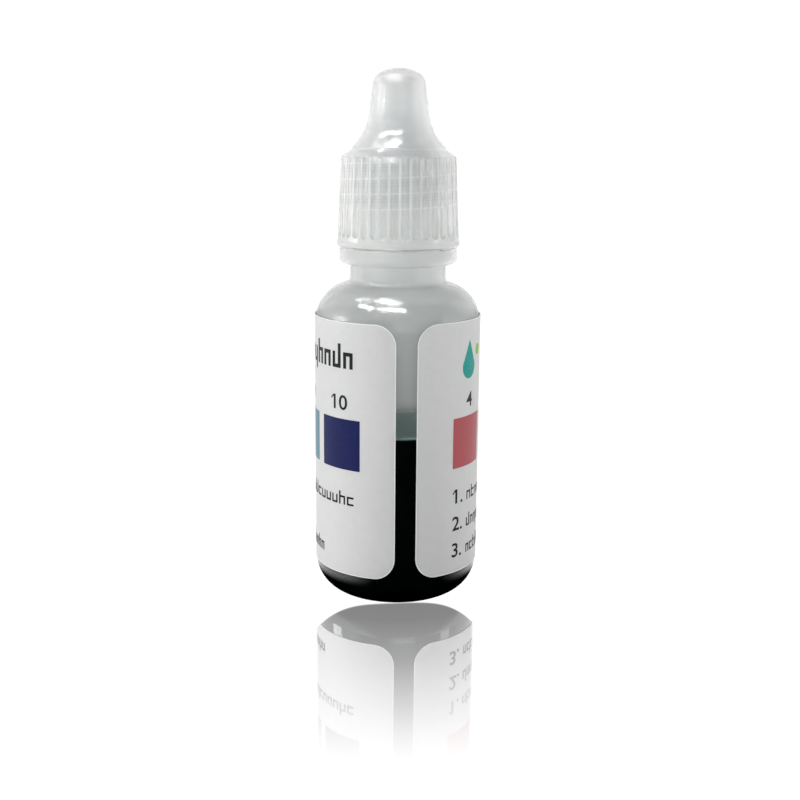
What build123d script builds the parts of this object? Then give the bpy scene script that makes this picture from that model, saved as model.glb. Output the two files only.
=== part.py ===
from build123d import *
import math
import os

os.makedirs("parts", exist_ok=True)

# A 15 ml squeeze dropper bottle with a screw cap. Millimetres, +Z up. The origin is the
# centre of the foot ring, on the bottle's axis. The gap between the label's ends faces -Y.
# Outlines are drawn as (radius, height) and turned about Z.

# Bottle body
BODY_RADIUS = 12.4
BODY_WALL = 0.8
FOOT_CORNER = 5.2
FOOT_RING_WIDTH = 0.8
FOOT_DOME = 0.7
SHOULDER_START = 42.15
SHOULDER_CORNER = 5.95

# Bottle neck: a plain collar, a bead that holds the tamper ring down, and the threaded finish
COLLAR_RADIUS = 7.17
COLLAR_FILLET = 0.8
BEAD_RADIUS = 7.75
BEAD_UNDERSIDE = 51.85
BEAD_BAND = 0.3
BEAD_TOP = 53.4
NECK_RADIUS = 6.5
NECK_BORE = 5.5
NECK_TOP = 65.4
NECK_CHAMFER = 0.3
BORE_FILLET = 1.2

# Screw thread, right-handed. The cap's ridge runs midway between the neck's turns.
PITCH = 2.2
RIDGE_BASE = 1.1
RIDGE_CREST = 0.44
RIDGE_ROOT_DEPTH = 0.15
NECK_THREAD_START = 57.9
NECK_THREAD_CREST = 7.3
NECK_THREAD_TURNS = 2.85
CAP_THREAD_START = NECK_THREAD_START + PITCH / 2
CAP_THREAD_CREST = 6.75
CAP_THREAD_TURNS = 2.8

# Dropper tip: a plug in the neck's bore, a flange on its rim, and the nozzle
PLUG_LENGTH = 6.0
PLUG_WALL = 0.9
PLUG_BEAD = 0.1
PLUG_BEAD_WIDTH = 0.6
PLUG_BEAD_HEIGHTS = (60.9, 63.4)
FLANGE_RADIUS = 6.3
FLANGE_THICKNESS = 0.8
NOZZLE_FOOT = 4.9
NOZZLE_WAIST = (2.3, 71.0)
NOZZLE_END = (2.0, 76.4)
NOZZLE_MOUTH = 1.3
TIP_TOP = 77.2
CHANNEL_WAIST = (1.3, 71.0)
CHANNEL_END = (0.9, 75.1)
PINHOLE_RADIUS = 0.25
PINHOLE_START = 75.3
PINHOLE_END = 75.9
OUTLET_RADIUS = 0.5
OUTLET_START = 76.0

# Cap: a fluted skirt, a sloping shoulder and a nose over the nozzle
CAP_BOTTOM = 53.4
SKIRT_EDGE = 0.25
SKIRT_LIP = (9.15, 54.1)
SKIRT_FOOT = (9.04, 54.35)
SKIRT_TOP = (8.5, 66.4)
SKIRT_CORNER = 0.5
SHOULDER_TOP = (6.95, 67.55)
SHOULDER_STEP = 0.2
FLARE_MIDDLE = (5.27, 69.95)
FLARE_END = (4.35, 73.2)
NOSE_END = (3.93, 76.8)
NOSE_CORNER = 2.1
CAP_TOP = 79.1
CAP_BORE = 7.5
BORE_LEAD_IN = 0.4
CEILING = 66.25
CEILING_RADIUS = 6.2
CEILING_EDGE = 0.4
INNER_FLARE_START = (5.95, 67.0)
INNER_FLARE_MIDDLE = (4.4, 69.8)
INNER_FLARE_END = (3.4, 73.2)
INNER_NOSE_END = (3.0, 76.5)
NOSE_CEILING = (1.7, 77.9)
PIN_ROOT = 0.46
PIN_TIP = 0.38
PIN_END = 76.3

# Flutes moulded into the skirt, which leave thin ribs between them and run out at its top
FLUTE_COUNT = 36
FLUTE_RADIUS = 1.15
FLUTE_DEPTH = 0.2
FLUTE_BOTTOM = 55.55
FLUTE_TOP = 67.2

# Tamper ring under the cap, and the webs that joined them before the first opening
RING_RADIUS = 8.85
RING_BOTTOM = 50.85
RING_TOP = 53.2
RING_BORE = 7.95
RING_LIP_RADIUS = 7.45
RING_LIP_TOP = 51.55
RING_CORNER = 0.9
RING_EDGE = 0.1
WEB_COUNT = 8
WEB_INNER = 8.1
WEB_OUTER = 8.65
WEB_WIDTH = 0.9
WEB_CLEARANCE = 0.02

# Label, wrapped round the body with a gap between its ends
LABEL_GAP_TO_BODY = 0.01
LABEL_RADIUS = 12.5
LABEL_BOTTOM = 5.2
LABEL_TOP = 43.3
LABEL_SEAM = 3.08
LABEL_CORNER = 3.2

# Reagent in the bottle
REAGENT_LEVEL = 26.6
REAGENT_CLEARANCE = 0.02


def turned(edges):
    """Turn a closed half outline about Z."""
    outline = make_face(Curve() + list(edges))
    return revolve(Plane.XZ * outline, Axis.Z)


def tangent_arc(edge, end):
    """An arc that carries on smoothly from an edge's end."""
    return TangentArc(edge @ 1, end, tangent=edge % 1)


def ridge(start, surface, crest, turns):
    """A thread ridge that stands on a cylinder of radius surface and rises to radius crest."""
    inward = math.copysign(RIDGE_ROOT_DEPTH, surface - crest)
    foot = RIDGE_BASE / 2
    flat = RIDGE_CREST / 2
    section = Polyline(
        (surface + inward, start - foot),
        (surface, start - foot),
        (crest, start - flat),
        (crest, start + flat),
        (surface, start + foot),
        (surface + inward, start + foot),
        close=True,
    )
    path = Helix(PITCH, PITCH * turns, surface, center=(0, 0, start))
    return sweep(Plane.XZ * make_face(section), path, is_frenet=True)


def collar_fillet():
    """Where the shoulder's arc ends and where the fillet meets the collar."""
    centre_radius = BODY_RADIUS - SHOULDER_CORNER
    reach = SHOULDER_CORNER + COLLAR_FILLET
    across = COLLAR_RADIUS + COLLAR_FILLET - centre_radius
    up = math.sqrt(reach**2 - across**2)
    share = SHOULDER_CORNER / reach
    shoulder_end = (centre_radius + across * share, SHOULDER_START + up * share)
    return shoulder_end, (COLLAR_RADIUS, SHOULDER_START + up)


def bottle_outside():
    """The bottle's solid outer form, from the domed base to the neck's rim."""
    foot_ring = BODY_RADIUS - FOOT_CORNER
    shoulder_end, collar_start = collar_fillet()
    dome = TangentArc((0, FOOT_DOME), (foot_ring - FOOT_RING_WIDTH, 0), tangent=(1, 0))
    foot = Line(dome @ 1, (foot_ring, 0))
    corner = tangent_arc(foot, (BODY_RADIUS, FOOT_CORNER))
    side = Line(corner @ 1, (BODY_RADIUS, SHOULDER_START))
    shoulder = tangent_arc(side, shoulder_end)
    fillet_arc = tangent_arc(shoulder, collar_start)
    neck = Polyline(
        fillet_arc @ 1,
        (COLLAR_RADIUS, BEAD_UNDERSIDE),
        (BEAD_RADIUS, BEAD_UNDERSIDE),
        (BEAD_RADIUS, BEAD_UNDERSIDE + BEAD_BAND),
        (NECK_RADIUS, BEAD_TOP),
        (NECK_RADIUS, NECK_TOP - NECK_CHAMFER),
        (NECK_RADIUS - NECK_CHAMFER, NECK_TOP),
        (0, NECK_TOP),
        (0, FOOT_DOME),
    )
    return turned([dome, foot, corner, side, shoulder, fillet_arc, neck])


def bottle_cavity(inset):
    """The space inside the bottle, up to the neck's rim, shrunk by inset from the walls."""
    wall = BODY_WALL + inset
    foot_ring = BODY_RADIUS - FOOT_CORNER
    bore = NECK_BORE - inset
    dome = TangentArc(
        (0, FOOT_DOME + wall), (foot_ring - FOOT_RING_WIDTH, wall), tangent=(1, 0)
    )
    foot = Line(dome @ 1, (foot_ring, wall))
    corner = tangent_arc(foot, (BODY_RADIUS - wall, FOOT_CORNER))
    side = Line(corner @ 1, (BODY_RADIUS - wall, SHOULDER_START))
    shoulder_top = SHOULDER_START + SHOULDER_CORNER - wall
    shoulder = tangent_arc(side, (BODY_RADIUS - SHOULDER_CORNER, shoulder_top))
    bore_arc = tangent_arc(shoulder, (bore, shoulder_top + BORE_FILLET))
    close = Polyline(bore_arc @ 1, (bore, NECK_TOP), (0, NECK_TOP), dome @ 0)
    return turned([dome, foot, corner, side, shoulder, bore_arc, close])


def bottle():
    """The blow-moulded bottle with its threaded neck."""
    thread = ridge(NECK_THREAD_START, NECK_RADIUS, NECK_THREAD_CREST, NECK_THREAD_TURNS)
    return bottle_outside() - bottle_cavity(0) + thread


def reagent():
    """The liquid, filled to its level."""
    block = Cylinder(BODY_RADIUS, REAGENT_LEVEL, align=(Align.CENTER, Align.CENTER, Align.MIN))
    return bottle_cavity(REAGENT_CLEARANCE) & block


def tip_channel():
    """The way through the tip: wide in the plug, a pinhole, then the outlet."""
    plug_bottom = NECK_TOP - PLUG_LENGTH
    bore = NECK_BORE - PLUG_WALL
    outline = Polyline(
        (0, plug_bottom),
        (bore, plug_bottom),
        (bore, NECK_TOP),
        CHANNEL_WAIST,
        CHANNEL_END,
        (PINHOLE_RADIUS, PINHOLE_START),
        (PINHOLE_RADIUS, PINHOLE_END),
        (OUTLET_RADIUS, OUTLET_START),
        (OUTLET_RADIUS, TIP_TOP),
        (0, TIP_TOP),
        close=True,
    )
    return turned([outline])


def tip_outside():
    """The tip's outer form: plug, flange and tapering nozzle."""
    plug_bottom = NECK_TOP - PLUG_LENGTH
    flange_top = NECK_TOP + FLANGE_THICKNESS
    lower = Polyline(
        (0, TIP_TOP),
        (0, plug_bottom),
        (NECK_BORE, plug_bottom),
        (NECK_BORE, NECK_TOP),
        (FLANGE_RADIUS, NECK_TOP),
        (FLANGE_RADIUS, flange_top),
        (NOZZLE_FOOT, flange_top),
    )
    taper = Line(NOZZLE_WAIST, NOZZLE_END)
    flare = TangentArc(NOZZLE_WAIST, lower @ 1, tangent=-(taper % 0))
    mouth = tangent_arc(taper, (NOZZLE_MOUTH, TIP_TOP))
    top = Line(mouth @ 1, (0, TIP_TOP))
    return turned([lower, flare, taper, mouth, top])


def dropper_tip():
    """The plug-in dropper tip, with two sealing beads round its plug."""
    tip = tip_outside()
    for height in PLUG_BEAD_HEIGHTS:
        half = PLUG_BEAD_WIDTH / 2
        bead = Polyline(
            (NECK_BORE - PLUG_BEAD, height - half),
            (NECK_BORE + PLUG_BEAD, height),
            (NECK_BORE - PLUG_BEAD, height + half),
            close=True,
        )
        tip += turned([bead])
    return tip - tip_channel()


def crown_end():
    """Where the nose's rounded corner runs smoothly into the crown, a dome centred on the axis."""
    side = Vector(*NOSE_END) - Vector(*FLARE_END)
    inward = Vector(-side.Y, side.X).normalized()
    centre = Vector(*NOSE_END) + inward * NOSE_CORNER
    depth = CAP_TOP - centre.Y
    crown_radius = (depth**2 + centre.X**2 - NOSE_CORNER**2) / (2 * (depth - NOSE_CORNER))
    crown_centre = Vector(0, CAP_TOP - crown_radius)
    end = crown_centre + (centre - crown_centre).normalized() * crown_radius
    return end.X, end.Y


def cap_outside():
    """The cap's outer form, before its flutes are cut."""
    lip = Polyline(
        (0, CAP_BOTTOM),
        (SKIRT_LIP[0] - SKIRT_EDGE, CAP_BOTTOM),
        (SKIRT_LIP[0], CAP_BOTTOM + SKIRT_EDGE),
        SKIRT_LIP,
        SKIRT_FOOT,
    )
    skirt = FilletPolyline(SKIRT_FOOT, SKIRT_TOP, SHOULDER_TOP, radius=SKIRT_CORNER)
    step = Line(SHOULDER_TOP, (SHOULDER_TOP[0], SHOULDER_TOP[1] + SHOULDER_STEP))
    flare = ThreePointArc(step @ 1, FLARE_MIDDLE, FLARE_END)
    nose = Line(FLARE_END, NOSE_END)
    corner = tangent_arc(nose, crown_end())
    crown = TangentArc((0, CAP_TOP), corner @ 1, tangent=(1, 0))
    axis = Line((0, CAP_TOP), (0, CAP_BOTTOM))
    return turned([lip, skirt, step, flare, nose, corner, crown, axis])


def cap_cavity():
    """The space inside the cap, round the pin that closes the outlet."""
    skirt = Polyline(
        (0, CAP_BOTTOM),
        (CAP_BORE + BORE_LEAD_IN, CAP_BOTTOM),
        (CAP_BORE, CAP_BOTTOM + BORE_LEAD_IN),
        (CAP_BORE, CEILING - CEILING_EDGE),
        (CAP_BORE - CEILING_EDGE, CEILING),
        (CEILING_RADIUS, CEILING),
        INNER_FLARE_START,
    )
    flare = ThreePointArc(INNER_FLARE_START, INNER_FLARE_MIDDLE, INNER_FLARE_END)
    nose = Line(INNER_FLARE_END, INNER_NOSE_END)
    corner = tangent_arc(nose, NOSE_CEILING)
    pin = Polyline(
        NOSE_CEILING,
        (PIN_ROOT, NOSE_CEILING[1]),
        (PIN_TIP, PIN_END),
        (0, PIN_END),
        (0, CAP_BOTTOM),
    )
    return turned([skirt, flare, nose, corner, pin])


def flute(angle):
    """A rod with a round lower end that cuts one flute along the skirt's taper."""
    inset = SKIRT_FOOT[0] - SKIRT_TOP[0]
    slope = inset / (SKIRT_TOP[1] - SKIRT_FOOT[1])
    surface = SKIRT_FOOT[0] - slope * (FLUTE_BOTTOM - SKIRT_FOOT[1])
    length = FLUTE_TOP - FLUTE_BOTTOM
    rod = Cylinder(FLUTE_RADIUS, length, align=(Align.CENTER, Align.CENTER, Align.MIN))
    rod += Sphere(FLUTE_RADIUS)
    place = Pos(surface - FLUTE_DEPTH + FLUTE_RADIUS, 0, FLUTE_BOTTOM)
    return Rot(0, 0, angle) * place * Rot(0, -math.degrees(math.atan(slope)), 0) * rod


def cap():
    """The screw cap: fluted outside, threaded inside, with a sealing pin in its nose."""
    shell = cap_outside() - [flute(n * 360 / FLUTE_COUNT) for n in range(FLUTE_COUNT)]
    thread = ridge(CAP_THREAD_START, CAP_BORE, CAP_THREAD_CREST, CAP_THREAD_TURNS)
    return shell - cap_cavity() + thread


def tamper_ring():
    """The ring left under the cap, whose inner lip catches below the neck's bead."""
    under = Line((RING_LIP_RADIUS, RING_BOTTOM), (RING_RADIUS - RING_CORNER, RING_BOTTOM))
    corner = tangent_arc(under, (RING_RADIUS, RING_BOTTOM + RING_CORNER))
    rest = Polyline(
        corner @ 1,
        (RING_RADIUS, RING_TOP - RING_EDGE),
        (RING_RADIUS - RING_EDGE, RING_TOP),
        (RING_BORE, RING_TOP),
        (RING_BORE, RING_LIP_TOP),
        (RING_LIP_RADIUS, RING_LIP_TOP),
        under @ 0,
    )
    return turned([under, corner, rest])


def tamper_webs():
    """The thin webs across the gap between the ring and the cap, as separate solids."""
    size = (WEB_OUTER - WEB_INNER, WEB_WIDTH, CAP_BOTTOM - WEB_CLEARANCE - RING_TOP)
    web = Pos(WEB_INNER, 0, RING_TOP) * Box(*size, align=(Align.MIN, Align.CENTER, Align.MIN))
    return Compound([Rot(0, 0, n * 360 / WEB_COUNT) * web for n in range(WEB_COUNT)])


def seam_window():
    """A prism along -Y the shape of the gap between the label's ends, corners included."""
    middle = (LABEL_BOTTOM + LABEL_TOP) / 2
    height = LABEL_TOP - LABEL_BOTTOM
    outline = Pos(0, middle) * Rectangle(LABEL_SEAM, height)
    for side in (-1, 1):
        for end, inward in ((LABEL_BOTTOM, 1), (LABEL_TOP, -1)):
            square_centre = (side * (LABEL_SEAM + LABEL_CORNER) / 2, end + inward * LABEL_CORNER / 2)
            round_centre = (side * (LABEL_SEAM / 2 + LABEL_CORNER), end + inward * LABEL_CORNER)
            outline += Pos(*square_centre) * Rectangle(LABEL_CORNER, LABEL_CORNER)
            outline -= Pos(*round_centre) * Circle(LABEL_CORNER)
    return extrude(Plane.XZ * outline, 2 * LABEL_RADIUS)


def label():
    """The paper label, with its ends' corners rounded."""
    inner = BODY_RADIUS + LABEL_GAP_TO_BODY
    wrap = Polyline(
        (inner, LABEL_BOTTOM),
        (LABEL_RADIUS, LABEL_BOTTOM),
        (LABEL_RADIUS, LABEL_TOP),
        (inner, LABEL_TOP),
        close=True,
    )
    return turned([wrap]) - seam_window()


PARTS = {
    "bottle": bottle,
    "reagent": reagent,
    "dropper_tip": dropper_tip,
    "cap": cap,
    "tamper_ring": tamper_ring,
    "tamper_webs": tamper_webs,
    "label": label,
}

for node, make in PARTS.items():
    export_step(make(), f"parts/{node}.step")
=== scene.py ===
import math
import random

import bmesh
import bpy
from mathutils import Matrix, Vector


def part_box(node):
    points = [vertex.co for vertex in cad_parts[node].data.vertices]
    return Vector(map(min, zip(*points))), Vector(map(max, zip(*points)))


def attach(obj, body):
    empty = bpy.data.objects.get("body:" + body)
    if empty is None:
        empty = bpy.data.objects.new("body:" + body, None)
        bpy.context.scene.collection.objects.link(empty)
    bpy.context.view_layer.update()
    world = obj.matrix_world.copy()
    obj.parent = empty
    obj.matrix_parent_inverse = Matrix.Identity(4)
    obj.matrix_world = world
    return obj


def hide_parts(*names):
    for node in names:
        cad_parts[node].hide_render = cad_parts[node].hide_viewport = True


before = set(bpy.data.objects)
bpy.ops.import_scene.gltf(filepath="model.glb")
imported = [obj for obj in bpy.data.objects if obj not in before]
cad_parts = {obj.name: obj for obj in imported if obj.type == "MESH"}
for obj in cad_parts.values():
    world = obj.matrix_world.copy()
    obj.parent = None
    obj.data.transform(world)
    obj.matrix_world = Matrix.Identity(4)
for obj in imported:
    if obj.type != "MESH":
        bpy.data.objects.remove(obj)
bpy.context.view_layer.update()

MM = 0.001

# The shared frame: the bottle stands on z = 0, its axis is Z, and the label's seam faces -Y.
label_low, label_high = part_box("label")
_, reagent_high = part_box("reagent")
_, bottle_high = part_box("bottle")

LABEL_RADIUS = label_high[0]
LABEL_BOTTOM = label_low[2]
LABEL_TOP = label_high[2]
LABEL_SEAM = 3.08 * MM
LABEL_CORNER = 3.2 * MM
LABEL_RIM = 0.14 * MM
LABEL_LENGTH = 2 * math.pi * LABEL_RADIUS - LABEL_SEAM
BODY_RADIUS = bottle_high[0]
LIQUID_LEVEL = reagent_high[2]


# ---------------------------------------------------------------- meshes


def add_object(name, mesh):
    piece = bpy.data.objects.new(name, mesh)
    bpy.context.scene.collection.objects.link(piece)
    return piece


def smooth(piece, angle):
    """Shades a piece smooth, but sharp at edges that turn by more than an angle in degrees."""
    for polygon in piece.data.polygons:
        polygon.use_smooth = True
    piece.data.set_sharp_from_angle(angle=math.radians(angle))


def mesh_object(name, points, faces):
    mesh = bpy.data.meshes.new(name)
    mesh.from_pydata(points, [], faces)
    mesh.validate()
    mesh.update()
    return add_object(name, mesh)


def arc(along, height, radius, start, sweep, steps):
    """Points on part of a circle, from the angle start, in degrees."""
    points = []
    for step in range(steps + 1):
        turn = math.radians(start + sweep * step / steps)
        points.append((along + radius * math.cos(turn), height + radius * math.sin(turn)))
    return points


# ---------------------------------------------------------------- shader nodes


def new_material(name):
    material = bpy.data.materials.new(name)
    material.use_nodes = True
    tree = material.node_tree
    return material, tree, tree.nodes["Principled BSDF"]


def material_output(tree):
    return next(made for made in tree.nodes if made.type == "OUTPUT_MATERIAL")


def node(tree, kind, **settings):
    made = tree.nodes.new(kind)
    for key, value in settings.items():
        setattr(made, key, value)
    return made


def feed(tree, socket, value):
    """Links a node's input to another node's output, or sets it to a plain value."""
    if isinstance(value, bpy.types.NodeSocket):
        tree.links.new(value, socket)
    else:
        socket.default_value = value


def feed_all(tree, made, values):
    for name, value in values.items():
        feed(tree, made.inputs[name], value)


def calculate(tree, operation, *values):
    """The result of a Math node on numbers or on other nodes' outputs."""
    made = node(tree, "ShaderNodeMath", operation=operation)
    for socket, value in zip(made.inputs, values):
        feed(tree, socket, value)
    return made.outputs[0]


def remap(tree, value, source, target=(0.0, 1.0), **settings):
    """A value carried over from one span to another."""
    made = node(tree, "ShaderNodeMapRange", **settings)
    limits = {"From Min": source[0], "From Max": source[1], "To Min": target[0], "To Max": target[1]}
    feed_all(tree, made, {"Value": value, **limits})
    return made.outputs["Result"]


def ease(tree, value, source, target=(0.0, 1.0)):
    """As remap, with soft ends."""
    return remap(tree, value, source, target, interpolation_type="SMOOTHSTEP")


def between(tree, share, low, high):
    """The low value where a share is 0 and the high one where it is 1, held within the two."""
    return remap(tree, share, (0.0, 1.0), (low, high))


def blend(tree, share, low, high):
    """The low number where the share is 0 and the high one where it is 1."""
    made = node(tree, "ShaderNodeMix", data_type="FLOAT")
    feed_all(tree, made, {"Factor": share, "A": low, "B": high})
    return made.outputs["Result"]


def blend_colours(tree, share, first, second, blend_type="MIX"):
    made = node(tree, "ShaderNodeMix", data_type="RGBA", blend_type=blend_type)
    feed_all(tree, made, {"Factor": share, "A": first, "B": second})
    return made.outputs["Result"]


def toned(tree, colour, tone):
    """A colour multiplied by a grey tone."""
    return blend_colours(tree, 1.0, colour, tone, "MULTIPLY")


def ramp(tree, source, stops):
    made = node(tree, "ShaderNodeValToRGB")
    elements = made.color_ramp.elements
    while len(elements) < len(stops):
        elements.new(0.5)
    for element, (at, colour) in zip(elements, stops):
        element.position = at
        element.color = (*colour, 1.0)
    tree.links.new(source, made.inputs["Fac"])
    return made.outputs["Color"]


def grey_ramp(tree, source, stops):
    return ramp(tree, source, [(at, (level, level, level)) for at, level in stops])


def noise(tree, scale, detail, stretch=(1, 1, 1)):
    """Noise by object coordinates, which are metres, so that a pattern stays at its real size."""
    place = node(tree, "ShaderNodeTexCoord")
    mapping = node(tree, "ShaderNodeMapping")
    feed_all(tree, mapping, {"Scale": stretch, "Vector": place.outputs["Object"]})
    made = node(tree, "ShaderNodeTexNoise")
    feed_all(tree, made, {"Scale": scale, "Detail": detail, "Vector": mapping.outputs["Vector"]})
    return made.outputs["Fac"]


def bump(tree, shader, height, distance):
    made = node(tree, "ShaderNodeBump")
    feed_all(tree, made, {"Strength": 1.0, "Distance": distance, "Height": height})
    tree.links.new(made.outputs["Normal"], shader.inputs["Normal"])
    return made


def coordinates(tree, kind="Object"):
    """A node whose outputs are the X, Y and Z of the shaded point, or of a direction."""
    place = node(tree, "ShaderNodeTexCoord")
    apart = node(tree, "ShaderNodeSeparateXYZ")
    tree.links.new(place.outputs[kind], apart.inputs[0])
    return apart


def flattened(tree, place):
    """The shaded point's offset from the Z axis, as a vector."""
    flat = node(tree, "ShaderNodeVectorMath", operation="MULTIPLY")
    flat.inputs[1].default_value = (1, 1, 0)
    tree.links.new(place.outputs["Object"], flat.inputs[0])
    return flat.outputs["Vector"]


def distance_from_axis(tree):
    length = node(tree, "ShaderNodeVectorMath", operation="LENGTH")
    tree.links.new(flattened(tree, node(tree, "ShaderNodeTexCoord")), length.inputs[0])
    return length.outputs["Value"]


def share_of_height(tree, span):
    """How far up a span of heights a point is, from 0 to 1."""
    return remap(tree, coordinates(tree).outputs["Z"], span)


# ---------------------------------------------------------------- plastic


PLASTIC_IOR = 1.5
GLOSS_ROUGHNESS = 0.07
CLOUD_SCALE = 260
CLOUD_STRETCH = (1, 1, 0.35)
SCATTER_LENGTH = 3 * MM
SCATTER_FORWARD = 0.8
GRAIN_SCALE = 2600
GRAIN_DEPTH = 0.003 * MM
EDGE_RADIUS = 0.12 * MM

# How far above the liquid the wall still looks wet, and where it has dried.
DAMP_REACH = (3 * MM, 6.5 * MM)

# The crests of the skirt's ribs, as radius and height at both ends.
RIB_FOOT = (9.04 * MM, 54.35 * MM)
RIB_TOP = (8.5 * MM, 66.4 * MM)
RIB_EDGE = 0.035 * MM
# Sheer on the ribs' crests: lower, so that they look whiter, a painted highlight.
RIB_HIGHLIGHT_SHEER = 0.1

# The cap's inner thread as seen through its wall: marks along one pitch, PLAIN where there are none.
# The dark marks are painted shade and the bright ones painted highlight, partly for the wall's thickness.
THREAD_PITCH = 2.2 * MM
THREAD_START = 59.0 * MM
THREAD_SPAN = (58.9 * MM, 65.9 * MM)
THREAD_ENDS = ((0.0, 0.0), (0.04, 1.0), (0.96, 1.0), (1.0, 0.0))
PLAIN = 0.45
THREAD_MARKS = (
    (0.02, PLAIN), (0.06, 0.0), (0.1, PLAIN), (0.32, PLAIN), (0.38, 0.7), (0.44, PLAIN),
    (0.83, PLAIN), (0.88, 0.0), (0.93, PLAIN),
)
THREAD_HIGHLIGHT_SHEER = 0.15
THREAD_SHADE_TONE = 0.84


def inward(tree):
    """1 where a turned piece faces its own axis, which is its inside, and 0 on its outside."""
    place = node(tree, "ShaderNodeTexCoord")
    facing = node(tree, "ShaderNodeVectorMath", operation="DOT_PRODUCT")
    tree.links.new(flattened(tree, place), facing.inputs[0])
    tree.links.new(place.outputs["Normal"], facing.inputs[1])
    return calculate(tree, "LESS_THAN", facing.outputs["Value"], 0.0)


def rib_crests(tree):
    """1 on the crests of the skirt's ribs and 0 in the flutes, from the radius and the height: where
    the crests' painted highlight goes.
    """
    heights = (RIB_FOOT[1], RIB_TOP[1])
    radii = (RIB_FOOT[0], RIB_TOP[0])
    crest_radius = remap(tree, coordinates(tree).outputs["Z"], heights, radii, clamp=False)
    over = calculate(tree, "SUBTRACT", distance_from_axis(tree), crest_radius)
    return ease(tree, over, (-RIB_EDGE, 0.0))


def thread_marks(tree):
    """Fine lines where the inner thread changes the wall's thickness, PLAIN between them: painted shade
    in the dark lines and painted highlight in the bright ones.
    """
    apart = coordinates(tree)
    angle = calculate(tree, "ARCTAN2", apart.outputs["Y"], apart.outputs["X"])
    turn = calculate(tree, "DIVIDE", angle, 2 * math.pi)
    one_pitch = (THREAD_START, THREAD_START + THREAD_PITCH)
    climb = remap(tree, apart.outputs["Z"], one_pitch, clamp=False)
    within = calculate(tree, "FRACT", calculate(tree, "SUBTRACT", climb, turn))
    marks = grey_ramp(tree, within, THREAD_MARKS)
    threaded = grey_ramp(tree, share_of_height(tree, THREAD_SPAN), THREAD_ENDS)
    return blend(tree, threaded, PLAIN, marks)


def tone_by_height(tree, tones):
    """A grey tone from (height, level) pairs, for a wall that is thicker in some places and for
    painted shade, such as on the bottle's neck under the cap.
    """
    low, high = tones[0][0], tones[-1][0]
    stops = [((height - low) / (high - low), level) for height, level in tones]
    return grey_ramp(tree, share_of_height(tree, (low, high)), stops)


def ribbed_sheer(tree, marks, sheer):
    """Painted highlights: less light passes through the ribs' crests and through the bright lines of
    the thread, so that they look whiter.
    """
    threaded = remap(tree, marks, (PLAIN, 1.0), (sheer, THREAD_HIGHLIGHT_SHEER))
    return blend(tree, rib_crests(tree), threaded, RIB_HIGHLIGHT_SHEER)


def dress_surface(tree, shader, skin, core):
    """The gloss, the scattering, the fine grain and the rounded edges of moulded plastic."""
    feed_all(tree, shader, {
        "IOR": PLASTIC_IOR,
        "Coat Weight": 1.0,
        "Coat Roughness": GLOSS_ROUGHNESS,
        "Subsurface Weight": 1.0,
        "Subsurface Radius": (1, 1, 1),
        "Subsurface Scale": SCATTER_LENGTH,
        "Subsurface Anisotropy": SCATTER_FORWARD,
        "Roughness": between(tree, inward(tree), skin, core),
    })
    relief = bump(tree, shader, noise(tree, GRAIN_SCALE, 3.0), GRAIN_DEPTH)
    edges = node(tree, "ShaderNodeBevel", samples=4)
    edges.inputs["Radius"].default_value = EDGE_RADIUS
    tree.links.new(edges.outputs["Normal"], relief.inputs["Normal"])
    tree.links.new(relief.outputs["Normal"], shader.inputs["Coat Normal"])


def moulded_plastic(name, tint, shade, clear, sheer, skin, core, wet=None, ribbed=False, thickness_and_shade=None):
    """Soft translucent polyethylene: glossy skin, duller inside, faint flow marks in its cloudiness.

    clear is how much of the light is refracted straight on, and sheer how much passes as through a
    thin film. skin and core are the roughness of the outside and of the inside. wet is the height
    under which liquid against the wall makes it look clear. ribbed is for the cap, with its ribs and
    its thread, which get painted highlights and painted shade. thick is a row of (height, level) pairs
    that darken the wall where it is thicker, and that also paint shade, as on the bottle's neck under
    the cap.
    """
    material, tree, shader = new_material(name)
    colour = ramp(tree, noise(tree, CLOUD_SCALE, 4.0, CLOUD_STRETCH), [(0.3, shade), (0.7, tint)])
    if thickness_and_shade:
        colour = toned(tree, colour, tone_by_height(tree, thickness_and_shade))
    if wet is not None:
        height = coordinates(tree).outputs["Z"]
        drying = (wet + DAMP_REACH[0], wet + DAMP_REACH[1])
        clear = ease(tree, height, drying, (1.0, clear))
        sheer = ease(tree, height, drying, (0.0, sheer))
    if ribbed:
        marks = thread_marks(tree)
        # Less sheer on the ribs' crests and the thread's bright lines: painted highlights.
        sheer = ribbed_sheer(tree, marks, sheer)
        # The thread's dark lines darken the colour: painted shade.
        colour = toned(tree, colour, grey_ramp(tree, marks, [(0.0, THREAD_SHADE_TONE), (PLAIN, 1.0)]))
    feed_all(tree, shader, {"Base Color": colour, "Transmission Weight": clear})
    dress_surface(tree, shader, skin, core)
    film = node(tree, "ShaderNodeBsdfTransparent")
    tree.links.new(colour, film.inputs["Color"])
    mix = node(tree, "ShaderNodeMixShader")
    feed(tree, mix.inputs["Fac"], sheer)
    tree.links.new(shader.outputs["BSDF"], mix.inputs[1])
    tree.links.new(film.outputs["BSDF"], mix.inputs[2])
    tree.links.new(mix.outputs["Shader"], material_output(tree).inputs["Surface"])
    return material


# ---------------------------------------------------------------- liquid, paper and ink


LIQUID_SHADES = ((0.3, (0.0003, 0.0014, 0.0018)), (0.7, (0.0005, 0.0026, 0.003)))
LIQUID_TINT = (0.7, 1.0, 0.97, 1.0)
LIQUID_SCALE = 180
# Painted light: a paler colour on the liquid's top, for the light from above that it catches.
LIT_TOP_COLOUR = (0.23, 0.32, 0.315, 1.0)
LIT_TOP_SPAN = (LIQUID_LEVEL - 0.3 * MM, LIQUID_LEVEL - 0.1 * MM)

PAPER_WHITE = 0.7
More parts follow.
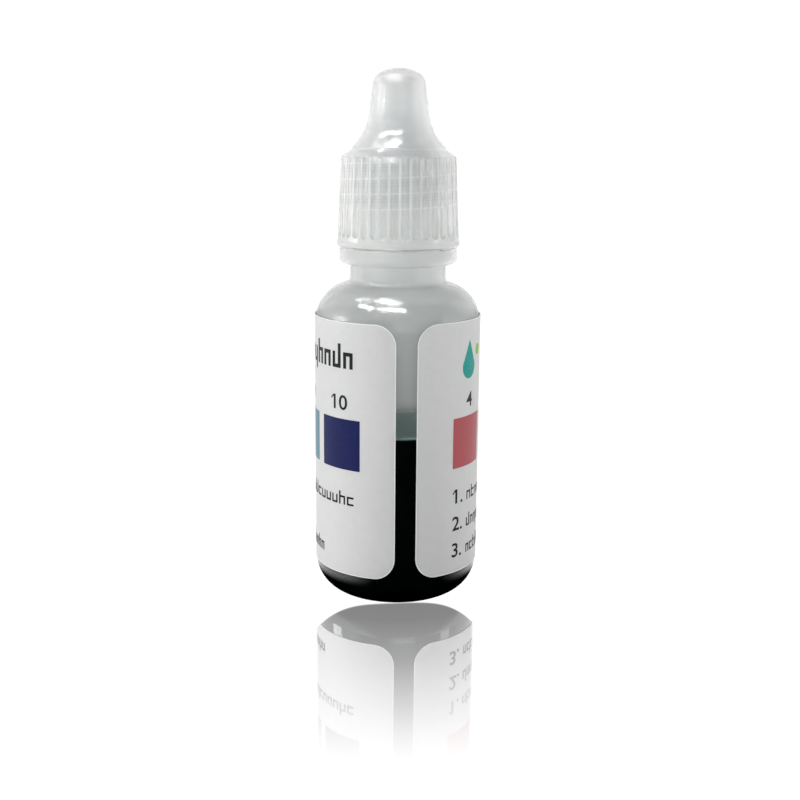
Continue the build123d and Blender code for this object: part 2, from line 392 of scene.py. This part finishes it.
# Whiter paper for the label's rim: a painted highlight where the cut edge catches light.
RIM_HIGHLIGHT_WHITE = 0.97
PAPER_SHADES = ((0.35, (-0.02, -0.012, -0.02)), (0.65, (0.0, 0.005, 0.0)))
PAPER_SCALE = 900
PAPER_SCATTER = 0.12 * MM
PAPER_DEPTH = 0.006 * MM

LIGHTER_GAIN = 1.25
LIGHTER_LIFT = 0.004
INK_SCALE = 2200
INK_DEPTH = 0.003 * MM


def reagent_material():
    """A near-black liquid, duller at its top, where a paler colour is painted light: the light from above
    that the surface catches, seen through the hazy wall.
    """
    material, tree, shader = new_material("dark_reagent")
    colour = ramp(tree, noise(tree, LIQUID_SCALE, 2.0), LIQUID_SHADES)
    top = share_of_height(tree, LIT_TOP_SPAN)
    feed_all(tree, shader, {
        "Base Color": blend_colours(tree, top, colour, LIT_TOP_COLOUR),
        "Roughness": between(tree, top, 0.06, 0.35),
        "IOR": 1.2,
        "Specular Tint": LIQUID_TINT,
    })
    return material


def label_paper(name, white):
    """White coated paper, thin enough to let some light into the bottle."""
    material, tree, shader = new_material(name)
    fibre = noise(tree, PAPER_SCALE, 5.0)
    shades = [(at, tuple(white + change for change in changes)) for at, changes in PAPER_SHADES]
    feed_all(tree, shader, {
        "Base Color": ramp(tree, fibre, shades),
        "Roughness": 0.42,
        "IOR": 1.45,
        "Subsurface Weight": 1.0,
        "Subsurface Radius": (1, 1, 1),
        "Subsurface Scale": PAPER_SCATTER,
    })
    bump(tree, shader, fibre, PAPER_DEPTH)
    return material


def ink(name, colour, other=None, roughness=0.4):
    """Printing ink, mottled between a colour and another one or a slightly lighter one."""
    material, tree, shader = new_material(name)
    speckle = noise(tree, INK_SCALE, 4.0)
    lighter = other or tuple(level * LIGHTER_GAIN + LIGHTER_LIFT for level in colour)
    shades = ramp(tree, speckle, [(0.3, colour), (0.7, lighter)])
    feed_all(tree, shader, {"Base Color": shades, "Roughness": roughness, "IOR": 1.25})
    bump(tree, shader, speckle, INK_DEPTH)
    return material


# ---------------------------------------------------------------- label and its print


CORNER_STEPS = 14
LABEL_COLUMNS = 360
LABEL_ROWS = 4
THINNEST_RIM = 0.001 * MM
BEHIND_LABEL = 0.03 * MM
PRINT_SHARP = 40


def on_label(along, height, radius):
    """A point of the label: along is the distance from the seam's middle, the way that text reads."""
    angle = along / LABEL_RADIUS
    return (radius * math.sin(angle), -radius * math.cos(angle), height)


def trim(from_end, inset):
    """How far the label's outline, or a line inset from it, lies in from its straight edge."""
    radius = LABEL_CORNER - inset
    short = LABEL_CORNER - from_end
    if short <= 0:
        return inset
    return LABEL_CORNER - math.sqrt(max(radius * radius - short * short, 0.0))


def label_stations():
    """Places along the label, close together at its round corners."""
    turns = [math.pi / 2 * step / CORNER_STEPS for step in range(CORNER_STEPS)]
    corner = sorted([LABEL_CORNER * (1 - math.cos(turn)) for turn in turns] + [LABEL_RIM])
    straight = LABEL_LENGTH - 2 * LABEL_CORNER
    body = [LABEL_CORNER + straight * step / LABEL_COLUMNS for step in range(LABEL_COLUMNS + 1)]
    return corner + body + [LABEL_LENGTH - place for place in reversed(corner)]


def label_rows(from_end):
    """Heights of one column of the label: its outline, its rim's inner line and a few rows between."""
    outer = trim(from_end, 0.0)
    inner = max(trim(from_end, LABEL_RIM), outer + THINNEST_RIM)
    low, high = LABEL_BOTTOM + inner, LABEL_TOP - inner
    between_rims = [low + (high - low) * row / LABEL_ROWS for row in range(LABEL_ROWS + 1)]
    return [LABEL_BOTTOM + outer, *between_rims, LABEL_TOP - outer]


def label_faces(stations, tall):
    """Faces of the wrap, front skin, back skin and edges, each with whether it is on the rim."""
    count = len(stations)
    skin = count * tall
    made = []
    for column in range(count - 1):
        middle = (stations[column] + stations[column + 1]) / 2
        at_end = min(middle, LABEL_LENGTH - middle) < LABEL_RIM
        a, b = column * tall, (column + 1) * tall
        for row in range(tall - 1):
            at_rim = at_end or row in (0, tall - 2)
            made.append(((a + row, b + row, b + row + 1, a + row + 1), at_rim))
            made.append(((skin + a + row, skin + a + row + 1, skin + b + row + 1, skin + b + row), False))
        top_a, top_b = a + tall - 1, b + tall - 1
        made.append(((a, skin + a, skin + b, b), True))
        made.append(((top_a, top_b, skin + top_b, skin + top_a), True))
    for row in range(tall - 1):
        last = (count - 1) * tall + row
        made.append(((row, row + 1, skin + row + 1, skin + row), True))
        made.append(((last, skin + last, skin + last + 1, last + 1), True))
    return made


def build_label():
    """The paper wrap: two skins and an edge all round, round corners, and a whiter rim along the cut
    edge, a painted highlight where it catches light.
    """
    stations = label_stations()
    points = []
    for radius in (LABEL_RADIUS, BODY_RADIUS + BEHIND_LABEL):
        for along in stations:
            from_end = min(along, LABEL_LENGTH - along)
            points += [on_label(LABEL_SEAM / 2 + along, z, radius) for z in label_rows(from_end)]
    faces = label_faces(stations, len(points) // (2 * len(stations)))
    piece = mesh_object("paper_label", points, [face for face, _ in faces])
    smooth(piece, PRINT_SHARP)
    piece.data.materials.append(label_paper("coated_label_paper", PAPER_WHITE))
    piece.data.materials.append(label_paper("label_rim_highlight", RIM_HIGHLIGHT_WHITE))
    for polygon, (_, is_rim) in zip(piece.data.polygons, faces):
        polygon.material_index = int(is_rim)
    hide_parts("label")
    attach(piece, "bottle")


INK_LIFT = 0.012 * MM
INK_THICKNESS = 0.012 * MM
LONGEST_FLAT = 0.4 * MM


def wrap(shape, flat, along=0.0, height=0.0):
    """Adds a flat figure to shape as thin ink that follows the label's curve."""
    left = min(v.co.x for v in flat.verts)
    right = max(v.co.x for v in flat.verts)
    cuts = max(1, math.ceil((right - left) / LONGEST_FLAT))
    for cut in range(1, cuts):
        bmesh.ops.bisect_plane(
            flat, geom=flat.verts[:] + flat.edges[:] + flat.faces[:],
            plane_co=(left + (right - left) * cut / cuts, 0, 0), plane_no=(1, 0, 0),
        )
    skins = []
    for radius in (LABEL_RADIUS + INK_LIFT, LABEL_RADIUS + INK_LIFT + INK_THICKNESS):
        skins.append({
            v: shape.verts.new(on_label(v.co.x + along, v.co.y + height, radius)) for v in flat.verts
        })
    lower, upper = skins
    for face in flat.faces:
        shape.faces.new([upper[v] for v in face.verts])
        shape.faces.new([lower[v] for v in reversed(face.verts)])
    for edge in flat.edges:
        if len(edge.link_faces) == 1:
            loop = edge.link_loops[0]
            first, second = loop.vert, loop.link_loop_next.vert
            shape.faces.new((lower[first], lower[second], upper[second], upper[first]))


def ink_piece(name, shape, material):
    bmesh.ops.recalc_face_normals(shape, faces=shape.faces[:])
    mesh = bpy.data.meshes.new(name)
    shape.to_mesh(mesh)
    shape.free()
    piece = add_object(name, mesh)
    smooth(piece, PRINT_SHARP)
    mesh.materials.append(material)
    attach(piece, "bottle")


def wrap_outlines(name, outlines, material):
    """Ink on the label from flat closed outlines of (along, height) points."""
    shape = bmesh.new()
    for outline in outlines:
        flat = bmesh.new()
        flat.faces.new([flat.verts.new((x, y, 0)) for x, y in outline])
        wrap(shape, flat)
        flat.free()
    ink_piece(name, shape, material)


PATCH = 7.6 * MM
PATCH_PITCH = 9.385 * MM
PATCH_START = LABEL_SEAM / 2 + 6.15 * MM
PATCH_BOTTOM = 21.4 * MM
PATCH_CORNER = 0.06 * MM
PATCH_ROUGHNESS = 0.35

# The colour scale: each number with its ink and the ink's mottling.
SCALE_COLOURS = (
    (4, (0.50, 0.085, 0.098), (0.40, 0.11, 0.125)),
    (5, (0.70, 0.23, 0.06), (0.62, 0.25, 0.09)),
    (6, (0.76, 0.55, 0.10), (0.70, 0.50, 0.13)),
    (7, (0.36, 0.50, 0.12), (0.30, 0.44, 0.14)),
    (8, (0.10, 0.34, 0.18), (0.12, 0.30, 0.20)),
    (9, (0.10, 0.225, 0.30), (0.13, 0.26, 0.32)),
    (10, (0.006, 0.010, 0.075), (0.010, 0.014, 0.095)),
)


def rounded_square(left, low, side, radius):
    right, high = left + side, low + side
    corners = (
        (right - radius, low + radius, -90),
        (right - radius, high - radius, 0),
        (left + radius, high - radius, 90),
        (left + radius, low + radius, 180),
    )
    outline = []
    for along, height, start in corners:
        outline += arc(along, height, radius, start, 90, 2)
    return outline


def build_patches():
    """The colour scale: seven printed squares, wrapped round the bottle."""
    for place, (number, colour, other) in enumerate(SCALE_COLOURS):
        outline = rounded_square(PATCH_START + place * PATCH_PITCH, PATCH_BOTTOM, PATCH, PATCH_CORNER)
        patch_ink = ink(f"scale_ink_{number}", colour, other, PATCH_ROUGHNESS)
        wrap_outlines(f"patch_{number}", [outline], patch_ink)


NUMERAL_STRETCH = 1.12
NUMERAL_WEIGHT = 0.013
NUMERAL_HEIGHT = 2.15 * MM
NUMERAL_BASELINE = 30.4 * MM
MERGE_DISTANCE = 1e-7

# The flag of a numeral one, in shares of its height: its reach to the left, and its corners' heights.
FLAG_REACH = 0.26
FLAG_TIP = (0.76, 0.64)
FLAG_ROOT = 0.84


def add_flag(mesh, left, height):
    """The short slanting stroke at the top of a numeral one."""
    shape = bmesh.new()
    shape.from_mesh(mesh)
    tip = left - FLAG_REACH * height
    upper, lower = FLAG_TIP
    corners = ((left, height), (tip, upper * height), (tip, lower * height), (left, FLAG_ROOT * height))
    shape.faces.new([shape.verts.new((x, y, 0)) for x, y in corners])
    shape.to_mesh(mesh)
    shape.free()


def text_outlines(text, height):
    """Outline meshes of numerals from Blender's built-in face, scaled to a height in metres."""
    curve = bpy.data.curves.new("numerals", "FONT")
    curve.body = text
    curve.size = 1.0
    curve.offset = NUMERAL_WEIGHT
    holder = bpy.data.objects.new("numerals", curve)
    bpy.context.scene.collection.objects.link(holder)
    bpy.context.view_layer.update()
    evaluated = holder.evaluated_get(bpy.context.evaluated_depsgraph_get())
    mesh = bpy.data.meshes.new_from_object(evaluated)
    bpy.data.objects.remove(holder)
    bpy.data.curves.remove(curve)
    scale = height / max(v.co.y for v in mesh.vertices)
    for vertex in mesh.vertices:
        vertex.co *= scale
        vertex.co.x *= NUMERAL_STRETCH
    if text.startswith("1"):
        add_flag(mesh, min(v.co.x for v in mesh.vertices), height)
    return mesh


def wrap_numerals(name, entries, material):
    """Numerals on the label. Each entry is text, left or centre along, baseline, centred."""
    shape = bmesh.new()
    for text, along, baseline, centred in entries:
        mesh = text_outlines(text, NUMERAL_HEIGHT)
        flat = bmesh.new()
        flat.from_mesh(mesh)
        bpy.data.meshes.remove(mesh)
        bmesh.ops.remove_doubles(flat, verts=flat.verts[:], dist=MERGE_DISTANCE)
        left = min(v.co.x for v in flat.verts)
        right = max(v.co.x for v in flat.verts)
        wrap(shape, flat, along - ((left + right) / 2 if centred else left), baseline)
        flat.free()
    ink_piece(name, shape, material)


LINE_START = PATCH_START + 0.1 * MM
LINE_BASELINES = (16.0 * MM, 11.8 * MM, 7.65 * MM)
LINE_ENDS = (70.9 * MM, 55.0 * MM, 64.2 * MM)
LINE_INDENT = 3.4 * MM
LINE_WORDS = ((7, 2, 9, 4, 3, 3, 8), (7, 5, 10, 8), (9, 8, 3, 10, 4, 5))
LINE_HEIGHT, LINE_STROKE = 1.35 * MM, 0.3 * MM
TITLE_LEFT, TITLE_RIGHT, TITLE_BASELINE = 44.0 * MM, 70.9 * MM, 36.5 * MM
TITLE_WORDS = (2, 4, 5)
TITLE_HEIGHT, TITLE_STROKE = 2.4 * MM, 0.56 * MM
TITLE_SEED = 7

# Shares of the words' height, but LETTER_SHARE is the share of a letter's place that it fills.
WORD_GAP = 0.55
LETTER_SHARE = 0.78
LETTER_RISE = 0.5
LETTER_DROP = 0.4


def build_numerals(black):
    """The scale's numbers, centred over the patches, and the numbers of the text lines."""
    entries = []
    for place, (number, _, _) in enumerate(SCALE_COLOURS):
        middle = PATCH_START + place * PATCH_PITCH + PATCH / 2
        entries.append((str(number), middle, NUMERAL_BASELINE, True))
    for number, baseline in enumerate(LINE_BASELINES, start=1):
        entries.append((f"{number}.", LINE_START, baseline, False))
    wrap_numerals("label_numerals", entries, black)


def arch(width, height, stroke, rise, drop):
    """Two stems joined along the top. The left one can rise and the right one can drop."""
    return (
        (0, 0), (stroke, 0), (stroke, height - stroke), (width - stroke, height - stroke),
        (width - stroke, -drop), (width, -drop), (width, height), (stroke, height),
        (stroke, height + rise), (0, height + rise),
    )


def cup(width, height, stroke, rise, drop):
    """Two stems joined along the bottom. The right one can rise and drop."""
    return (
        (0, 0), (width - stroke, 0), (width - stroke, -drop), (width, -drop),
        (width, height + rise), (width - stroke, height + rise), (width - stroke, stroke),
        (stroke, stroke), (stroke, height), (0, height),
    )


def hook(width, height, stroke, rise, drop):
    """A stem with two arms. The stem can rise and drop."""
    return (
        (0, -drop), (stroke, -drop), (stroke, 0), (width, 0), (width, stroke), (stroke, stroke),
        (stroke, height - stroke), (width, height - stroke), (width, height), (stroke, height),
        (stroke, height + rise), (0, height + rise),
    )


def mock_words(left, right, baseline, height, stroke, words, seed):
    """Shapes that mean nothing, set like the letters of words of these lengths."""
    chance = random.Random(seed)
    gap = WORD_GAP * height
    pitch = (right - left - gap * (len(words) - 1)) / sum(words)
    shapes, place = [], left
    for letters in words:
        for _ in range(letters):
            shape = chance.choice((arch, cup, hook, arch, cup))
            rise = chance.choice((0, 0, LETTER_RISE * height))
            drop = chance.choice((0, 0, 0, LETTER_DROP * height)) if not rise else 0
            outline = shape(pitch * LETTER_SHARE, height, stroke, rise, drop)
            shapes.append([(place + x, baseline + y) for x, y in outline])
            place += pitch
        place += gap
    return shapes


def build_words(black):
    """Rows of mock words in place of the label's text."""
    shapes = []
    for seed, (baseline, end, words) in enumerate(zip(LINE_BASELINES, LINE_ENDS, LINE_WORDS)):
        start = LINE_START + LINE_INDENT
        shapes += mock_words(start, end, baseline, LINE_HEIGHT, LINE_STROKE, words, seed)
    wrap_outlines("label_text_lines", shapes, black)
    title = mock_words(
        TITLE_LEFT, TITLE_RIGHT, TITLE_BASELINE, TITLE_HEIGHT, TITLE_STROKE, TITLE_WORDS, TITLE_SEED
    )
    wrap_outlines("label_title", title, black)


MARK_MIDDLE = PATCH_START + 3.6 * MM
MARK_BOTTOM, MARK_TOP = 34.6 * MM, 40.4 * MM
MARK_RADIUS = 1.75 * MM
MARK_START, MARK_SWEEP = -215, 250
DOT_MIDDLE, DOT_HEIGHT = MARK_MIDDLE + 3.0 * MM, 38.6 * MM
DOT_RADIUS = 0.85 * MM
DOT_STEP = 15


def build_mark():
    """A plain droplet with a dot, in place of a printed mark."""
    centre = MARK_BOTTOM + MARK_RADIUS
    drop = arc(MARK_MIDDLE, centre, MARK_RADIUS, MARK_START, MARK_SWEEP, 24)
    drop.append((MARK_MIDDLE, MARK_TOP))
    wrap_outlines("label_drop_mark", [drop], ink("teal_ink", (0.02, 0.30, 0.26)))
    dot = arc(DOT_MIDDLE, DOT_HEIGHT, DOT_RADIUS, 0, 360 - DOT_STEP, 360 // DOT_STEP - 1)
    wrap_outlines("label_dot_mark", [dot], ink("green_ink", (0.25, 0.50, 0.05)))


# ---------------------------------------------------------------- reagent


LATHE_SEGMENTS = 192
LIQUID_SHARP = 50
WALL = 0.8 * MM
INTO_WALL = 0.05 * MM
FOOT_CORNER = 4.4 * MM
DOME_RISE = 0.7 * MM
DOME_SHARES = (0.45, 0.9)
DOME_FALL = 0.17 * MM
DOME_FOOT = 0.03 * MM
CORNER_POINTS, MENISCUS_POINTS = 16, 10
MENISCUS_CLIMB, MENISCUS_REACH, MENISCUS_DECAY = 0.1 * MM, 1.5 * MM, 4.2
LEVEL_SINK = 0.01 * MM


def lathe(name, profile):
    """A closed solid turned from (radius, height) points that start and end on the axis."""
    points, faces, rings = [], [], []
    for radius, height in profile:
        if radius == 0:
            rings.append([len(points)])
            points.append((0, 0, height))
            continue
        rings.append(list(range(len(points), len(points) + LATHE_SEGMENTS)))
        for step in range(LATHE_SEGMENTS):
            turn = 2 * math.pi * step / LATHE_SEGMENTS
            points.append((radius * math.cos(turn), radius * math.sin(turn), height))
    for low, high in zip(rings, rings[1:]):
        for step in range(LATHE_SEGMENTS):
            after = (step + 1) % LATHE_SEGMENTS
            if len(low) == 1:
                faces.append((low[0], high[after], high[step]))
            elif len(high) == 1:
                faces.append((low[step], low[after], high[0]))
            else:
                faces.append((low[step], low[after], high[after], high[step]))
    return mesh_object(name, points, faces)


def liquid_profile():
    """The liquid's outline: domed foot, round corner, side, and the curve that it makes up the wall."""
    side = BODY_RADIUS - WALL + INTO_WALL
    corner = FOOT_CORNER + INTO_WALL
    foot = side - corner
    floor_height = WALL - INTO_WALL
    dome = floor_height + DOME_RISE
    upper, lower = DOME_SHARES
    profile = [(0, dome), (foot * upper, dome - DOME_FALL), (foot * lower, floor_height + DOME_FOOT)]
    for step in range(CORNER_POINTS + 1):
        turn = math.radians(-90 + 90 * step / CORNER_POINTS)
        profile.append((foot + corner * math.cos(turn), floor_height + corner * (1 + math.sin(turn))))
    profile.append((side, (floor_height + LIQUID_LEVEL) / 2))
    for step in range(MENISCUS_POINTS + 1):
        share = step / MENISCUS_POINTS
        climb = MENISCUS_CLIMB * math.exp(-MENISCUS_DECAY * share)
        profile.append((side - MENISCUS_REACH * share, LIQUID_LEVEL + climb - LEVEL_SINK * share))
    profile.append((side * 0.5, LIQUID_LEVEL - LEVEL_SINK))
    profile.append((0, LIQUID_LEVEL - LEVEL_SINK))
    return profile


def build_reagent():
    """The liquid. It sits a hair inside the wall's skin, so that no gap shows."""
    piece = lathe("reagent_liquid", liquid_profile())
    smooth(piece, LIQUID_SHARP)
    piece.data.materials.append(reagent_material())
    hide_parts("reagent")
    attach(piece, "bottle")


# ---------------------------------------------------------------- stage


EYE_WHITE = 1.05
FRONT_LEVEL = 0.0
REAR_LEVEL = 0.9
SIDE_LIGHT = (-1.9, 1.2)
FLOOR_HALF = 3.0
FLOOR_LIT = (0.0, 26 * MM)
FOOT_SHADE = (13.5 * MM, 19 * MM)
WORLD_TURN = (-0.25, 0.6)
CEILING_SPAN, CEILING_LEVELS = (0.3, 0.8), (1.0, 0.3)

# The strip of floor that mirrors the bottle: its end bows towards the foot's outline by the fourth
# power of the distance aside, and it slants and tapers with the bottle's image.
MIRROR_ROUGHNESS = 0.03
MIRROR_REACH = 58 * MM
MIRROR_START = 8.0 * MM
MIRROR_EDGE = 0.8 * MM
MIRROR_BOW, MIRROR_POWER = 5e5, 4
MIRROR_SLANT = -0.111
MIRROR_HALF = 12.5 * MM
MIRROR_TAPER = 0.069
MIRROR_SOFT = 0.2 * MM
MIRROR_FADE = ((0.0, 0.8), (0.26, 0.765), (0.5, 0.63), (0.74, 0.34), (0.88, 0.137), (1.0, 0.0))


def for_the_eye(tree, level):
    """Level as light for the bottle, but an even white where the camera sees it straight on."""
    path = node(tree, "ShaderNodeLightPath")
    return blend(tree, path.outputs["Is Camera Ray"], level, EYE_WHITE)


def mirror_strip(tree, apart, fade):
    """Keeps the mirror to a round-ended strip in front of the foot, with a clear line above it."""
    across, depth = apart.outputs["X"], apart.outputs["Y"]
    aside = calculate(tree, "ABSOLUTE", calculate(tree, "MULTIPLY_ADD", depth, MIRROR_SLANT, across))
    bow = calculate(tree, "POWER", aside, MIRROR_POWER)
    ahead = calculate(tree, "MULTIPLY_ADD", bow, MIRROR_BOW, depth)
    front = ease(tree, ahead, (-MIRROR_START, -MIRROR_START - MIRROR_EDGE))
    half = calculate(tree, "MULTIPLY_ADD", depth, MIRROR_TAPER, MIRROR_HALF)
    sides = ease(tree, calculate(tree, "SUBTRACT", aside, half), (MIRROR_SOFT, -MIRROR_SOFT))
    return calculate(tree, "MULTIPLY", calculate(tree, "MULTIPLY", sides, front), fade)


def floor_light(tree, apart, distance):
    """How strongly the floor lights the bottle: most from behind, and not from under its foot."""
    left, right = (calculate(tree, "MULTIPLY", apart.outputs["X"], share) for share in SIDE_LIGHT)
    sideways = calculate(tree, "MAXIMUM", left, right)
    behind = calculate(tree, "ADD", sideways, apart.outputs["Y"])
    level = ease(tree, behind, FLOOR_LIT, (FRONT_LEVEL, REAR_LEVEL))
    return calculate(tree, "MULTIPLY", level, ease(tree, distance, FOOT_SHADE))


def floor_material():
    """A white sheet that mirrors the bottle near its foot, less and less further out."""
    material, tree, shader = new_material("white_acrylic")
    tree.nodes.remove(shader)
    apart = coordinates(tree)
    distance = distance_from_axis(tree)
    fade = grey_ramp(tree, calculate(tree, "DIVIDE", distance, MIRROR_REACH), MIRROR_FADE)
    glow = node(tree, "ShaderNodeEmission")
    feed(tree, glow.inputs["Strength"], for_the_eye(tree, floor_light(tree, apart, distance)))
    mirror = node(tree, "ShaderNodeBsdfGlossy")
    feed_all(tree, mirror, {"Color": (1, 1, 1, 1), "Roughness": MIRROR_ROUGHNESS})
    path = node(tree, "ShaderNodeLightPath")
    strip = mirror_strip(tree, apart, fade)
    mix = node(tree, "ShaderNodeMixShader")
    feed(tree, mix.inputs["Fac"], calculate(tree, "MULTIPLY", strip, path.outputs["Is Camera Ray"]))
    tree.links.new(glow.outputs["Emission"], mix.inputs[1])
    tree.links.new(mirror.outputs["BSDF"], mix.inputs[2])
    tree.links.new(mix.outputs["Shader"], material_output(tree).inputs["Surface"])
    return material


def build_floor():
    half = FLOOR_HALF
    corners = [(-half, -half, 0), (half, -half, 0), (half, half, 0), (-half, half, 0)]
    floor = mesh_object("floor", corners, [(0, 1, 2, 3)])
    floor.data.materials.append(floor_material())


def build_world():
    """White all round for the eye; as light, dimmer on the side that the bottle's seam faces."""
    world = bpy.data.worlds.new("studio")
    bpy.context.scene.world = world
    world.use_nodes = True
    tree = world.node_tree
    place = node(tree, "ShaderNodeTexCoord")
    front = node(tree, "ShaderNodeVectorMath", operation="DOT_PRODUCT")
    front.inputs[1].default_value = (0.0, -1.0, 0.0)
    tree.links.new(place.outputs["Generated"], front.inputs[0])
    level = ease(tree, front.outputs["Value"], WORLD_TURN, (REAR_LEVEL, FRONT_LEVEL))
    up = coordinates(tree, "Generated").outputs["Z"]
    light = calculate(tree, "MULTIPLY", level, ease(tree, up, CEILING_SPAN, CEILING_LEVELS))
    feed_all(tree, tree.nodes["Background"], {"Color": (1, 1, 1, 1), "Strength": for_the_eye(tree, light)})


# ---------------------------------------------------------------- light panels and camera


CAMERA_DISTANCE = 0.1828
CAMERA_HEIGHT = 0.0696
CAMERA_AZIMUTH = math.radians(-6.35)
CAMERA_PITCH = math.radians(12.29)
CAMERA_ROLL = math.radians(0.45)
CAMERA_LENS = 54.8
CAMERA_SENSOR = 36
CAMERA_SHIFT = 0.0038
CAMERA_NEAR, CAMERA_FAR = 0.005, 20


def soft_panel(name, across, up, size, radiance, lights=True, shines=True):
    """A light panel a metre away and aimed at the bottle.

    across and up are angles from the camera's side, in degrees. lights is False for a panel that
    only makes highlights, and shines is False for one that makes none.
    """
    data = bpy.data.lights.new(name, "AREA")
    data.shape = "RECTANGLE"
    data.size, data.size_y = size
    data.energy = radiance * math.pi * size[0] * size[1]
    lamp = bpy.data.objects.new(name, data)
    bpy.context.scene.collection.objects.link(lamp)
    turn, lift = CAMERA_AZIMUTH + math.radians(across), math.radians(up)
    aim = Vector((math.sin(turn) * math.cos(lift), -math.cos(turn) * math.cos(lift), math.sin(lift)))
    lamp.visible_diffuse = lights
    lamp.visible_glossy = shines
    lamp.location = aim + Vector((0, 0, LABEL_TOP))
    lamp.rotation_euler = aim.to_track_quat("Z", "Y").to_euler()


def build_panels():
    soft_panel("overhead", -50, 79, (0.45, 0.26), 15, lights=False)
    soft_panel("overhead_left", -110, 60, (0.16, 0.25), 8, lights=False)
    soft_panel("front", -12, 57, (0.56, 0.13), 32, lights=False)
    soft_panel("front_left", -66, 53, (0.4, 0.13), 26, lights=False)
    soft_panel("fill_front", 12, 6, (0.6, 0.4), 9.2, shines=False)
    soft_panel("fill_left", -62, 12, (0.4, 0.4), 5.6, shines=False)
    soft_panel("left", -90, -2, (0.3, 0.7), 4.3)
    soft_panel("right", 75, -3, (0.3, 0.7), 1.9)


def build_camera():
    data = bpy.data.cameras.new("camera")
    data.lens = CAMERA_LENS
    data.sensor_width = CAMERA_SENSOR
    data.shift_x = CAMERA_SHIFT
    data.clip_start = CAMERA_NEAR
    data.clip_end = CAMERA_FAR
    camera = bpy.data.objects.new("camera", data)
    bpy.context.scene.collection.objects.link(camera)
    camera.location = (
        CAMERA_DISTANCE * math.sin(CAMERA_AZIMUTH),
        -CAMERA_DISTANCE * math.cos(CAMERA_AZIMUTH),
        CAMERA_HEIGHT,
    )
    turn = (
        Matrix.Rotation(CAMERA_AZIMUTH, 4, "Z")
        @ Matrix.Rotation(math.pi / 2 - CAMERA_PITCH, 4, "X")
        @ Matrix.Rotation(CAMERA_ROLL, 4, "Z")
    )
    camera.rotation_euler = turn.to_euler()
    bpy.context.scene.camera = camera


def set_up_scene():
    """Plain colours, and enough bounces for light to pass through the stacked thin walls."""
    scene = bpy.context.scene
    scene.view_settings.view_transform = "Standard"
    scene.cycles.max_bounces = 40
    scene.cycles.transmission_bounces = 32
    scene.cycles.diffuse_bounces = 16
    scene.cycles.glossy_bounces = 16
    scene.cycles.transparent_max_bounces = 64


# ---------------------------------------------------------------- assembly


def paint(name, material):
    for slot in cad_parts[name].material_slots:
        slot.material = material


def paint_plastic():
    """Materials for the pieces that keep their CAD meshes."""
    paint("bottle", moulded_plastic(
        "bottle_polyethylene", (0.97, 0.985, 0.977), (0.96, 0.975, 0.967),
        clear=0.5, sheer=0.5, skin=0.08, core=0.3, wet=LIQUID_LEVEL,
        # Darker from 46 to 53 mm: painted shade on the neck under the ring and cap, partly its thicker
        # wall.
        thickness_and_shade=((46 * MM, 1.0), (48.5 * MM, 0.9), (51 * MM, 0.9), (53 * MM, 1.0)),
    ))
    cap_plastic = moulded_plastic(
        "cap_polyethylene", (0.995, 0.998, 0.993), (0.985, 0.99, 0.984),
        clear=0.35, sheer=0.6, skin=0.15, core=0.3, ribbed=True,
        thickness_and_shade=((66 * MM, 1.0), (70 * MM, 0.98)),
    )
    for cap_node in ("cap", "tamper_ring", "tamper_webs"):
        paint(cap_node, cap_plastic)
    # The tip's blue-grey tint is painted shade, for the darker column it shows inside the cap's nose.
    paint("dropper_tip", moulded_plastic(
        "tip_polyethylene", (0.93, 0.95, 0.965), (0.91, 0.935, 0.95),
        clear=0.4, sheer=0.35, skin=0.3, core=0.3,
    ))


paint_plastic()
build_label()
build_patches()
black_ink = ink("black_ink", (0.012, 0.012, 0.013))
build_numerals(black_ink)
build_words(black_ink)
build_mark()
build_reagent()
build_floor()
build_world()
build_panels()
build_camera()
set_up_scene()
